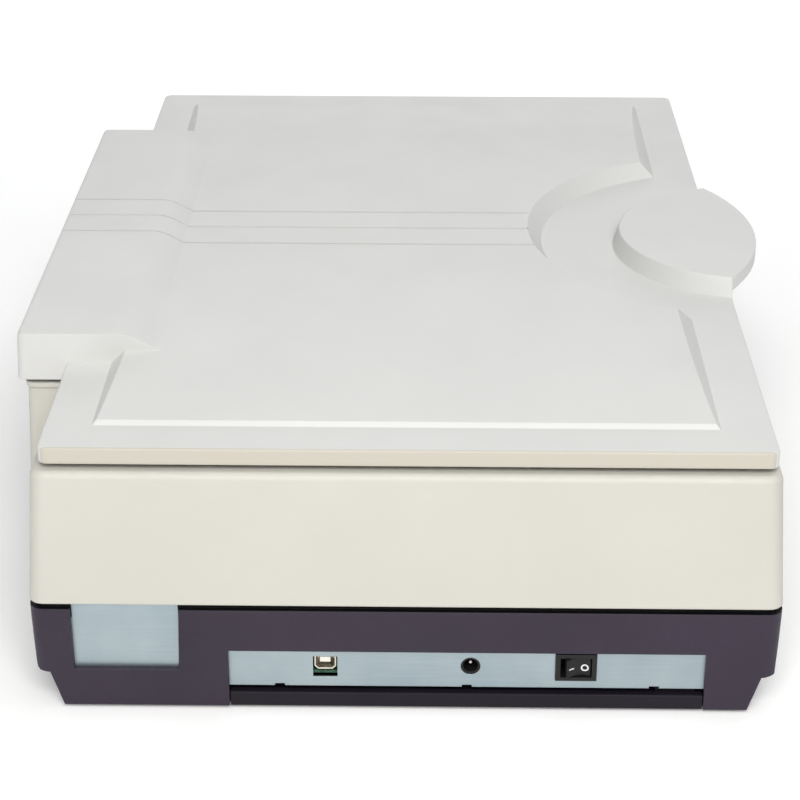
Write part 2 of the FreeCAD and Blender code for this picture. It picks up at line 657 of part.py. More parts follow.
def belt_loop(radius, z):
    """Upright loop round both pulleys."""
    ends = [disc(radius, WHEEL_X, BELT_Y, z), disc(radius, IDLER_X, BELT_Y, z)]
    return join([block((WHEEL_X, IDLER_X), around(BELT_Y, radius), z)] + ends)


def drive_belt():
    inner = belt_loop(BELT_INNER_R, (BELT_Z[0] - 1, BELT_Z[1] + 1))
    return belt_loop(BELT_INNER_R + BELT_T, BELT_Z).cut(inner)


def motor_bracket():
    """Folded plate that carries the motor from below and the wheel's axle."""
    x = (-274.0, -226.0)
    y = (56.0, 134.0)
    plate = block(x, y, BRACKET_Z)
    web_end = block((-226.0, -224.0), y, (FLOOR_TOP_Z, BRACKET_Z[1]))
    web_side = block(x, (132.0, 134.0), (FLOOR_TOP_Z, BRACKET_Z[1]))
    foot = block((-224.0, -212.0), y, (FLOOR_TOP_Z, FLOOR_TOP_Z + 2.0))
    solid = join([plate, web_end, web_side, foot])
    solid = solid.cut(disc(11.0, WHEEL_X, MOTOR_Y, (45.0, 49.0)))
    solid = solid.cut(disc(AXLE_R, WHEEL_X, BELT_Y, (45.0, 49.0)))
    for dx, dy in MOTOR_SCREWS:
        solid = solid.cut(disc(1.6, WHEEL_X + dx, MOTOR_Y + dy, (45.0, 49.0)))
    return solid


def stepper_motor():
    body = rounded_block(around(WHEEL_X, 21.0), around(MOTOR_Y, 21.0), (12.0, BRACKET_Z[0]), 4.0)
    body = join([body, disc(11.0, WHEEL_X, MOTOR_Y, (BRACKET_Z[0] - 1, BRACKET_Z[1]))])
    body = body.cut(disc(AXLE_R + PIN_GAP, WHEEL_X, MOTOR_Y, (38.0, 49.0)))
    for dx, dy in MOTOR_SCREWS:
        body = body.cut(disc(1.5, WHEEL_X + dx, MOTOR_Y + dy, (40.0, 47.0)))
    return body


def idler_bracket():
    plate = block((246.0, 270.0), around(BELT_Y, 10.0), (50.0, 52.0))
    stem = block((250.0, 266.0), around(BELT_Y, 6.0), (FLOOR_TOP_Z, 50.0))
    axle = disc(AXLE_R, IDLER_X, BELT_Y, (52.0, 62.0))
    return join([plate, stem, axle])


def tension_spring():
    """Compression spring that pushes the idler bracket outwards."""
    coil_r = 3.6
    wire_r = 0.45
    height = 13.0
    helix = Part.makeHelix(2.2, height, coil_r)
    profile = Part.Wire([Part.makeCircle(wire_r, V(coil_r, 0, 0), V(0, 1, 0))])
    coil = Part.Wire(helix.Edges).makePipeShell([profile], True, True)
    coil.rotate(V(0, 0, 0), V(0, 1, 0), 90)
    coil.translate(V(236.5, BELT_Y, 30.0))
    return coil


# ---- carriage ----
def carriage_span(low, high):
    """X range given from the carriage's middle, at its home position."""
    return (CARRIAGE_HOME_X + low, CARRIAGE_HOME_X + high)


def carriage_housing():
    """Black box over the optics, with the scan slit, the lamp trough and the lock's keyhole."""
    outer = block(carriage_span(-CARRIAGE_HALF_X, CARRIAGE_HALF_X), around(0, CARRIAGE_HALF_Y), CARRIAGE_Z)
    outer = outer.makeFillet(2.0, upright_edges(outer))
    inner_half_x = CARRIAGE_HALF_X - CARRIAGE_WALL
    inner = block(
        carriage_span(-inner_half_x, inner_half_x), around(0, CARRIAGE_HALF_Y - CARRIAGE_WALL),
        (CARRIAGE_Z[0] - 1, CARRIAGE_Z[1] - CARRIAGE_WALL))
    trough = block(carriage_span(4.0, 20.0), around(0, CARRIAGE_HALF_Y - 1.0), (117.0, CARRIAGE_Z[1]))
    pocket = block(carriage_span(-43.0, -22.0), around(0, 13.0), (120.5, CARRIAGE_Z[1]))
    solid = join([outer.cut(inner), trough, pocket])
    solid = solid.cut(block(carriage_span(6.0, 18.0), around(0, CARRIAGE_HALF_Y - 3.0), (119.0, 130.0)))
    solid = solid.cut(block(carriage_span(-3.0, 3.0), around(0, 152.0), (120.0, 130.0)))
    solid = solid.cut(disc(9.6, LOCK_X, 0.0, (123.0, 130.0)))
    return solid.cut(block((LOCK_X - 12.0, LOCK_X), around(0, 4.8), (123.0, 130.0)))


def carriage_base():
    """Moulded floor of the carriage with its two bush blocks."""
    span = carriage_span(-CARRIAGE_HALF_X, CARRIAGE_HALF_X)
    plate = block(span, around(0, CARRIAGE_HALF_Y), (CARRIAGE_BASE_Z, CARRIAGE_Z[0]))
    solid = join([plate] + [
        block(carriage_span(low, low + 18.0), around(ROD_Y, 10.0), (48.0, CARRIAGE_BASE_Z))
        for low in (-CARRIAGE_HALF_X, CARRIAGE_HALF_X - 18.0)
    ])
    ends = carriage_span(-50.0, 50.0)
    return solid.cut(rod(7.0, (ends[0], ROD_Y, ROD_Z), (ends[1], ROD_Y, ROD_Z)))


def rod_bush(low):
    x = carriage_span(low, low + 18.0)
    ring = rod(7.0, (x[0], ROD_Y, ROD_Z), (x[1], ROD_Y, ROD_Z))
    return ring.cut(rod(ROD_R + PIN_GAP, (x[0] - 1, ROD_Y, ROD_Z), (x[1] + 1, ROD_Y, ROD_Z)))


def rail_slider():
    slider = block(carriage_span(-36.0, 36.0), (146.0, 155.0), (RAIL_TOP_Z + 0.3, CARRIAGE_BASE_Z))
    return slider.makeFillet(2.0, edges_where(slider, lambda p: p.z < RAIL_TOP_Z + 1.0))


def belt_clamp():
    """Block whose two jaws straddle one run of the belt."""
    run_y = BELT_Y + BELT_INNER_R + BELT_T / 2
    body = block(carriage_span(-10.0, 10.0), (run_y - 4.0, run_y + 5.0), (54.7, CARRIAGE_BASE_Z))
    slot = block(carriage_span(-12.0, 12.0), around(run_y, BELT_T / 2 + 0.3), (54.0, BELT_Z[1] + 0.3))
    return body.cut(slot)


def lamp_tube():
    x = CARRIAGE_HOME_X + 12.0
    return rod(1.5, (x, -155.0, 125.0), (x, 155.0, 125.0))


def lamp_holder(side):
    x = CARRIAGE_HOME_X + 12.0
    y = sorted((side * 148.0, side * 157.0))
    cap = block(around(x, 4.0), y, (119.0, 128.4))
    return cap.cut(rod(1.5, (x, side * 140.0, 125.0), (x, side * 155.0, 125.0)))


def lamp_reflector():
    """Bright trough under the lamp."""
    x = CARRIAGE_HOME_X + 12.0
    outer = rod(5.6, (x, -147.5, 125.0), (x, 147.5, 125.0))
    inner = rod(5.1, (x, -148.0, 125.0), (x, 148.0, 125.0))
    return outer.cut(inner).common(block(around(x, 6.0), around(0, 150.0), (118.0, 124.0)))


def carriage_mirrors():
    """Three mirror strips at 45 degrees that fold the light path down to the lens."""
    strips = []
    half_y = CARRIAGE_HALF_Y - CARRIAGE_WALL
    for offset, z, tilt in ((0.0, 78.0, -45.0), (34.0, 78.0, 45.0), (34.0, 100.0, -45.0)):
        strip = block(around(CARRIAGE_HOME_X + offset, 8.0), around(0, half_y), around(z, 1.0))
        strip.rotate(V(CARRIAGE_HOME_X + offset, 0, z), V(0, 1, 0), tilt)
        strips.append(strip)
    return strips


def lens_barrel():
    x = carriage_span(-28.0, -6.0)
    barrel = rod(9.0, (x[0], 0.0, 100.0), (x[1], 0.0, 100.0))
    barrel = barrel.cut(rod(6.5, (x[1] - 2.0, 0.0, 100.0), (x[1] + 1, 0.0, 100.0)))
    return barrel


def lens_clamp():
    saddle = block(carriage_span(-24.0, -10.0), around(0, 13.0), (CARRIAGE_Z[0], 98.0))
    return saddle.cut(rod(9.0, (-260.0, 0.0, 100.0), (-220.0, 0.0, 100.0)))


def sensor_board():
    return block(carriage_span(-40.4, -38.8), around(0, 45.0), (CARRIAGE_Z[0], 114.0))


def sensor_chip():
    return block(carriage_span(-38.8, -35.5), around(0, 28.0), (95.0, 105.0))


def inverter_board():
    return block(carriage_span(-40.0, -12.0), (-150.0, -60.0), (CARRIAGE_Z[0], CARRIAGE_Z[0] + 1.6))


# ---- transport lock ----
def transport_lock():
    """Quarter-turn knob: a coin slot on top and a tongue that passes the carriage's keyhole."""
    knob = disc(11.0, LOCK_X, 0.0, (134.9, 137.8))
    knob = knob.makeFillet(0.6, edges_where(knob, lambda p: p.z > 137.0))
    shaft = disc(4.0, LOCK_X, 0.0, (128.0, 135.0))
    tongue = block(around(LOCK_X, 8.0), around(0, 4.0), (124.0, 128.4))
    solid = join([knob, shaft, tongue])
    return solid.cut(block(around(LOCK_X, 8.0), around(0, 1.1), (136.4, 139.0)))


# ---- hinge ----
def hinge_post(x):
    """Flat post that slides in its socket, cranked back to a knuckle on the hinge axis."""
    shank = block(around(x, POST_HALF_WIDTH), POST_Y, (POST_BOTTOM_Z, 148.0))
    shank = shank.makeChamfer(1.5, edges_where(shank, lambda p: p.z < POST_BOTTOM_Z + 0.1))
    bend_z = 147.0
    crank_section = [
        (POST_Y[0], bend_z), (POST_Y[1], bend_z),
        (HINGE_Y + KNUCKLE_R, HINGE_Z), (HINGE_Y - KNUCKLE_R, HINGE_Z),
    ]
    crank = prism(crank_section, "x", x - POST_HALF_WIDTH, x + POST_HALF_WIDTH)
    ends = around(x, POST_HALF_WIDTH)
    knuckle = rod(KNUCKLE_R, (ends[0], HINGE_Y, HINGE_Z), (ends[1], HINGE_Y, HINGE_Z))
    solid = join([shank, crank, knuckle])
    bore = rod(HINGE_PIN_R + PIN_GAP, (ends[0] - 1, HINGE_Y, HINGE_Z), (ends[1] + 1, HINGE_Y, HINGE_Z))
    return solid.cut(bore)


def hinge_pin(x):
    return rod(HINGE_PIN_R, (x - 11.0, HINGE_Y, HINGE_Z), (x + 11.0, HINGE_Y, HINGE_Z))


def hinge_bracket(x):
    """Steel bracket under the lid's bump, with one cheek each side of the knuckle."""
    top = block(around(x, 10.6), (174.0, 194.0), (162.4, BUMP_TOP_Z - LID_SKIN))
    cheeks = []
    for side in (-1, 1):
        cheek = block(around(x + side * 9.6, 1.0), (186.0, 206.0), (153.0, BUMP_TOP_Z - LID_SKIN))
        cheeks.append(cheek.makeChamfer(3.5, edges_where(cheek, lambda p: p.y > 205.0 and p.z > 164.0)))
    solid = join([top] + cheeks)
    solid = solid.cut(rod(HINGE_PIN_R, (x - 12.0, HINGE_Y, HINGE_Z), (x + 12.0, HINGE_Y, HINGE_Z)))
    return solid.cut(disc(1.5, x, 180.0, (160.0, 166.0)))


# ---- lid ----
def raised_panel(side_gap, drop, low_z):
    """Panel with sides at 45 degrees and a top crowned along the length."""
    rise = 13.0
    spread = BORDER_Z - low_z - side_gap
    centre_y = sum(PANEL_SIDE_Y) / 2
    half_y = (PANEL_SIDE_Y[1] - PANEL_SIDE_Y[0]) / 2
    wires = []
    for z, grow in ((low_z, spread), (BORDER_Z + rise, -rise - side_gap)):
        x = PANEL_HALF_LENGTH + grow
        low_y = centre_y - half_y - grow
        high_y = centre_y + half_y + grow
        corners = [V(-x, low_y, z), V(x, low_y, z), V(x, high_y, z), V(-x, high_y, z)]
        wires.append(Part.makePolygon(corners + corners[:1]))
    return Part.makeLoft(wires, True, True).common(crown_tool(drop))


def crown_tool(drop):
    """All below the panel's top surface, which is flat in the middle and falls away to the ends."""
    steps = 10
    reach = 1.06 * PANEL_HALF_LENGTH
    points = []
    for step in range(-steps, steps + 1):
        x = reach * step / steps
        fall = (CROWN_Z - CROWN_END_Z) * (x / PANEL_HALF_LENGTH) ** 4
        points.append(V(x, -200.0, CROWN_Z - drop - fall))
    curve = Part.BSplineCurve()
    curve.interpolate(points)
    under = Part.makePolygon([points[-1], V(reach, -200.0, 100.0), V(-reach, -200.0, 100.0), points[0]])
    return Part.Face(Part.Wire([curve.toShape()] + under.Edges)).extrude(V(0, 400.0, 0))


def bump_body(skin, low_z):
    """Hinge bump: flat top, leaning rear face with a rounded edge, and an S-curve down into the panel."""
    x = BUMP_X[0]
    top = BUMP_TOP_Z - skin
    edge_r = BUMP_EDGE_R - skin * 0.6
    lean = math.atan(BUMP_DRAFT)
    out = V(0, math.cos(lean), math.sin(lean))
    foot = V(x, BUMP_Y - skin, low_z)
    centre_z = top - edge_r
    centre_y = foot.y - (edge_r + math.sin(lean) * (centre_z - low_z)) / math.cos(lean)
    centre = V(x, centre_y, centre_z)
    rear = centre.add(V(out).multiply(edge_r))
    middle = V(0, math.cos((lean + math.pi / 2) / 2), math.sin((lean + math.pi / 2) / 2))
    arc_end = V(x, centre_y, top)
    start = V(x, BUMP_CURVE_Y[1] - skin * 0.4, top)
    end = V(x, BUMP_CURVE_Y[0] + skin * 0.4, BUMP_CURVE_END_Z - skin)
    tangent = V(0, -14.0, 0)
    curve = Part.BSplineCurve()
    halfway = start.add(end).multiply(0.5)
    curve.interpolate([start, halfway, end], InitialTangent=tangent, FinalTangent=tangent)
    edges = [
        Part.makeLine(foot, rear),
        Part.Arc(rear, centre.add(middle.multiply(edge_r)), arc_end).toShape(),
        Part.makeLine(arc_end, start),
        curve.toShape(),
        Part.makeLine(end, V(x, end.y, low_z)),
        Part.makeLine(V(x, end.y, low_z), foot),
    ]
    return Part.Face(Part.Wire(edges)).extrude(V(BUMP_X[1] - BUMP_X[0], 0, 0))


def bump_outline():
    """Leaning tool with the bump's rounded corners in plan."""
    rise = 40.0
    plan = rounded_block(BUMP_X, (60.0, BUMP_Y + 0.02), (BUMP_BOTTOM_Z - 1.0, BUMP_BOTTOM_Z), BUMP_CORNER_R)
    face = [face for face in plan.Faces if face.CenterOfMass.z > BUMP_BOTTOM_Z - 0.01][0]
    return face.extrude(V(0, -BUMP_DRAFT * rise, rise))


def recess_cone(grow, low_z):
    """Tool for the arc recess round the handle."""
    low_r = RECESS_R + grow + RECESS_SLOPE * (low_z - BORDER_Z)
    height = 20.0
    return Part.makeCone(low_r, low_r + RECESS_SLOPE * height, height, V(RECESS_X, RECESS_Y, low_z))


def soften_top(solid, z):
    """Round the solid's edges that lie at height z."""
    return solid.makeFillet(1.0, edges_where(solid, lambda p: p.z > z - 0.01))


def grip_disc(margin, z):
    return disc(GRIP_FRONT_R - margin, HANDLE_X, GRIP_FRONT_Y + GRIP_FRONT_R, z)


def handle_cone(margin, z):
    slope = (HANDLE_FOOT_R - HANDLE_TOP_R) / (HANDLE_TOP_Z - BORDER_Z)
    low_r = HANDLE_FOOT_R - margin - slope * (z[0] - BORDER_Z)
    high_r = HANDLE_FOOT_R - margin - slope * (z[1] - BORDER_Z)
    return Part.makeCone(low_r, high_r, z[1] - z[0], V(HANDLE_X, HANDLE_Y, z[0]))


def handle_body():
    """Round handle mound on the lid and the grip that overhangs the lid's edge."""
    cone_z = (BORDER_Z - 2.0, HANDLE_TOP_Z)
    grip_z = (GRIP_Z, HANDLE_TOP_Z)
    cone = soften_top(handle_cone(0, cone_z), HANDLE_TOP_Z)
    grip = soften_top(grip_disc(0, grip_z), HANDLE_TOP_Z)
    return join([
        cone.common(block((-120.0, 120.0), (LID_Y[0], -90.0), cone_z)),
        grip.common(block((-120.0, 120.0), (GRIP_FRONT_Y - 5.0, LID_Y[0]), grip_z)),
    ])


def lid_outer():
    plate = rounded_block(around(0, LID_HALF_LENGTH), LID_Y, (LID_BOTTOM_Z, BORDER_Z), 5.0)
    plate = plate.makeFillet(1.2, edges_where(plate, lambda p: p.z > BORDER_Z - 0.01))
    panel = raised_panel(0, 0, BORDER_Z - 3.0)
    bump = bump_body(0, BUMP_BOTTOM_Z).common(bump_outline())
    bump = bump.cut(block((-190.0, 160.0), (120.0, LID_Y[1]), (130.0, LID_BOTTOM_Z)))
    panel = join([panel, bump]).cut(recess_cone(0, BORDER_Z))
    return join([plate, panel, handle_body()])


def lid_hollow():
    border = block(
        around(0, LID_HALF_LENGTH - LID_SKIN), (LID_Y[0] + LID_SKIN, LID_Y[1] - LID_SKIN),
        (130.0, BORDER_Z - LID_SKIN))
    panel = raised_panel(LID_SKIN * 1.414, LID_SKIN, BORDER_Z - LID_SKIN - 1.0)
    panel = panel.cut(recess_cone(LID_SKIN * 1.414, BORDER_Z - LID_SKIN))
    bump = bump_body(LID_SKIN, 130.0)
    bump = bump.common(block((BUMP_X[0] + LID_SKIN, BUMP_X[1] - LID_SKIN), (100.0, 220.0), (120.0, 180.0)))
    mound = handle_cone(LID_SKIN, (BORDER_Z - LID_SKIN - 1.0, HANDLE_TOP_Z - LID_SKIN))
    mound = mound.common(block((-120.0, 120.0), (LID_Y[0] + LID_SKIN, 0.0), (130.0, 170.0)))
    grip = grip_disc(LID_SKIN, (GRIP_Z - 1.0, HANDLE_TOP_Z - LID_SKIN))
    grip = grip.common(block((-120.0, 120.0), (-220.0, LID_Y[0] - 0.1), (130.0, 170.0)))
    return [border, panel, bump, mound, grip]


def lid_cover():
    """Moulded lid shell with its raised panel, bump, recess, handle, engraved lines and screw bosses."""
    outer = lid_outer()
    lowered = outer.translated(V(0, 0, -GROOVE_DEPTH))
    solid = outer
    for x in GROOVE_X:
        slab = block(around(x, GROOVE_WIDTH / 2), (-90.0, BUMP_Y + 1.0), (152.0, 170.0))
        solid = solid.cut(slab.cut(lowered).cut(recess_cone(0.6, BORDER_Z)))
    for hollow in lid_hollow():
        solid = solid.cut(hollow)
    bosses = [disc(4.0, x, y, (145.4, BORDER_Z - 1.0)) for x, y in LID_SCREW_SITES]
    solid = join([solid] + bosses)
    for x, y in LID_SCREW_SITES:
        solid = solid.cut(disc(1.5, x, y, (140.0, 148.6)))
    for x in POST_X:
        slot_x = around(x, POST_HALF_WIDTH + 1.0)
        solid = solid.cut(block(slot_x, (BUMP_Y - 5.0, BUMP_Y + 1.0), (130.0, 162.5)))
        solid = solid.cut(disc(1.5, x, 180.0, (160.0, 165.6)))
    return solid


def lid_inner_panel():
    """Flat panel that closes the lid and carries the document pad."""
    panel = rounded_block(
        around(0, LID_HALF_LENGTH - LID_SKIN - 0.4),
        (LID_Y[0] + LID_SKIN + 0.4, LID_Y[1] - LID_SKIN - 0.4), (143.6, 145.4), 3.0)
    for x, y in LID_SCREW_SITES:
        panel = panel.cut(disc(1.5, x, y, (143.0, 146.0)))
    return panel


def document_pad():
    pad = rounded_block(around(0, 219.0), around(0, 151.0), (138.3, 143.6), 4.0)
    return pad.makeFillet(1.0, edges_where(pad, lambda p: p.z < 138.4))


def lid_bumper(x, y):
    bumper = disc(4.0, x, y, (138.3, 143.6))
    return bumper.makeFillet(1.0, edges_where(bumper, lambda p: p.z < 138.4))


# ---- fasteners ----
def case_screws():
    return [screw(x, y, 48.0, 22.0, 1, 2.0) for x, y in BOSS_SITES]


def chassis_screws():
    board = [screw(x, y, BOARD_Z[1], 7.6, -1) for x, y in BOARD_SITES]
    sill = [screw(-270.0, y, 8.5, 4.5, -1) for y in SILL_TAB_Y]
    motor = [screw(WHEEL_X + dx, MOTOR_Y + dy, BRACKET_Z[1], 7.0, -1) for dx, dy in MOTOR_SCREWS]
    return board + sill + motor


def lid_screws():
    panel = [screw(x, y, 143.6, 5.0) for x, y in LID_SCREW_SITES]
    brackets = [screw(x, 180.0, 162.4, 3.2) for x in POST_X]
    return panel + brackets


def main():
    os.makedirs("parts", exist_ok=True)
    save("base_housing", base_housing())
    save("rubber_feet", [rubber_foot(x, y) for x, y in FOOT_SITES])
    save("case_screws", case_screws())
    save("chassis_screws", chassis_screws())
    save("io_sill_bar", io_sill_bar())
    save("io_panel_plate", io_panel_plate())
    save("expansion_cover_plate", expansion_cover_plate())
    save("usb_socket_shell", usb_socket_shell())
    save("usb_socket_tongue", usb_socket_tongue())
    save("dc_jack_body", dc_jack_body())
    save("dc_jack_pin", dc_jack_pin())
    save("switch_bezel", switch_bezel())
    save("switch_rocker", switch_rocker())
    save("main_board", main_board())
    save("board_chips", board_chips())
    save("board_capacitors", board_capacitors())
    save("board_connectors", board_connectors())
    save("upper_housing", upper_housing())
    save("light_pipes", [light_pipe(x) for x in LIGHT_X])
    save("post_sockets", [post_socket(x) for x in POST_X])
    save("platen_glass", platen_glass())
    save("platen_gasket", platen_gasket())
    save("calibration_strip", calibration_strip())
    save("guide_rod", rod(ROD_R, (-276.0, ROD_Y, ROD_Z), (276.0, ROD_Y, ROD_Z)))
    save("rod_holders", [rod_holder(side) for side in (-1, 1)])
    save("guide_rail", guide_rail())
    save("motor_bracket", motor_bracket())
    save("stepper_motor", stepper_motor())
    save("motor_shaft", disc(AXLE_R, WHEEL_X, MOTOR_Y, (38.5, 57.0)))
    save("motor_pinion", motor_pinion())
    save("gear_axle", disc(AXLE_R, WHEEL_X, BELT_Y, (46.0, 62.5)))
    save("reduction_gear", reduction_gear())
    save("drive_pulley", toothed_pulley(WHEEL_X, GEAR_Z[1]))
    save("idler_pulley", toothed_pulley(IDLER_X, 54.0))
    save("idler_bracket", idler_bracket())
    save("tension_spring", tension_spring())
    save("drive_belt", drive_belt())
    save("carriage_housing", carriage_housing())
    save("carriage_base", carriage_base())
    save("rod_bushes", [rod_bush(low) for low in (-CARRIAGE_HALF_X, CARRIAGE_HALF_X - 18.0)])
    save("rail_slider", rail_slider())
    save("belt_clamp", belt_clamp())
    save("lamp_tube", lamp_tube())
    save("lamp_holders", [lamp_holder(side) for side in (-1, 1)])
    save("lamp_reflector", lamp_reflector())
    save("carriage_mirrors", carriage_mirrors())
    save("lens_barrel", lens_barrel())
    save("lens_clamp", lens_clamp())
    save("sensor_board", sensor_board())
    save("sensor_chip", sensor_chip())
    save("inverter_board", inverter_board())
    save("transport_lock", transport_lock())
    save("hinge_posts", [hinge_post(x) for x in POST_X])
    save("hinge_pins", [hinge_pin(x) for x in POST_X])
    save("hinge_brackets", [hinge_bracket(x) for x in POST_X])
    save("lid_cover", lid_cover())
    save("lid_inner_panel", lid_inner_panel())
    save("document_pad", document_pad())
    save("lid_bumpers", [lid_bumper(x, y) for x in (-268.0, 268.0) for y in (-137.0, -3.0, 131.0)])
    save("lid_screws", lid_screws())


main()
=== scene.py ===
"""Large flatbed scanner: looks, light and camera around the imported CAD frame. All lengths are metres."""

import json
import math

import bmesh
import bpy
from mathutils import Matrix, Vector


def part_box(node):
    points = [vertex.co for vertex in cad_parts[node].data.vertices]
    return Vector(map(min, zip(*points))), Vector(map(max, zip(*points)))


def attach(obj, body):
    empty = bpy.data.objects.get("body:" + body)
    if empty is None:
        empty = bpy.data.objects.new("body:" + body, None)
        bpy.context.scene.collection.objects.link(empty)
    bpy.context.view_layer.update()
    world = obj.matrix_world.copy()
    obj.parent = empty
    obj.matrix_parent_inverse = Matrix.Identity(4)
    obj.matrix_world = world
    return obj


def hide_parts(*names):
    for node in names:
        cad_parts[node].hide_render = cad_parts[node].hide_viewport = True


MM = 0.001

# Smoothing of the CAD meshes
CREASE = math.radians(28)      # edges bent more than this stay sharp
WELD = 0.002 * MM              # corners closer than this become one
FLAT_WEIGHT = 80               # how strongly large flat faces keep their own normals

# Places where shade and a reflection are painted into a part's colour
# Painted shade: above this height the base is painted black, as the shadow deep inside the joint between
# the two housings
JOINT_SHADE_Z = 59.9 * MM            # the base is painted black above this, inside the joint
JOINT_SHADE_BLACK = (0.002, 0.002, 0.003)
# Painted reflection and shade: the lid's end edges are painted in a darker, warmer colour that stands for
# warm reflected light
LID_END_X = 278.4 * MM         # the lid's two end edges lie beyond this
# Painted shade: a band this wide along each engraved line is painted grey, as the shade that falls in the
# grooves
GROOVE_X = (-32.0 * MM, -6.0 * MM, 20.0 * MM)
GROOVE_HALF = 1.0 * MM
GROOVE_END_Y = -72.5 * MM      # the engraved lines stop here, at the recess round the handle
PAINT_STEP = 0.1 * MM          # one paint passes into the other over this distance

BRIGHTEST = 0.95               # no paint reflects more than this

# Document pad
PAD_CORNER = 4.0 * MM
PAD_CORNER_STEPS = 8
PAD_SHEET = 0.7 * MM           # the face sheet and its sag take this much of the pad's height
PAD_SEAM = 0.3 * MM            # height of the foam's softened top and bottom edges
SHEET_THICK = 0.5 * MM
SHEET_SAG = 0.1575 * MM        # the sheet hangs lower in the middle by this

# Marks on the power switch
MARK_HEIGHT = 0.07 * MM
MARK_DROP = 0.6 * MM           # the marks lie this far under the rocker's middle
OFF_RING_Y = -3.6 * MM         # from the rocker's middle
OFF_RING_RADIUS = 1.65 * MM
OFF_RING_HALF = 0.46 * MM      # half the width of its stroke
OFF_RING_POINTS = 28
ON_LINE_Y = 3.3 * MM
ON_LINE_HALF = 0.40 * MM
ON_LINE_POINTS = (-1.3 * MM, -0.45 * MM, 0.45 * MM, 1.3 * MM)    # along the stroke
# Section across a raised stroke, as shares of its half width and of its height
STROKE_SECTION = ((-1.0, -0.6), (-0.8, 0.6), (-0.3, 1.0), (0.3, 1.0), (0.8, 0.6), (1.0, -0.6))

# Paper sweep: a floor that bends up into a wall
SWEEP_FRONT = -4.0
SWEEP_BACK = 3.0
SWEEP_TOP = 3.2
SWEEP_HALF_WIDTH = 5.0
SWEEP_BEND = 0.8               # radius of the bend
SWEEP_BEND_STEPS = 12

CAMERA_PLACE = Vector((-1.1980, -0.01298, 0.6300))
CAMERA_YAW = math.radians(0.8714)       # from +X towards +Y
CAMERA_PITCH = math.radians(26.2094)    # below the horizon
CAMERA_ROLL = math.radians(-0.0206)
CAMERA_LENS = 94.83                     # focal length and sensor width in millimetres
CAMERA_SENSOR = 36.0
CAMERA_NEAR = 0.05

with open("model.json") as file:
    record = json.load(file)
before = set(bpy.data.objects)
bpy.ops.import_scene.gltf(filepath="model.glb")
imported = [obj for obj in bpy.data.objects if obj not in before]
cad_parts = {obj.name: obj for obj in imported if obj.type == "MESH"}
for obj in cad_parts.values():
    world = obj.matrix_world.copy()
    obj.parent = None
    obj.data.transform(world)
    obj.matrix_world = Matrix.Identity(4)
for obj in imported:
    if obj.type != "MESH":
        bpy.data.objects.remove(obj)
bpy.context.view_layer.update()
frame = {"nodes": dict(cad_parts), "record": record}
nodes = frame["nodes"]


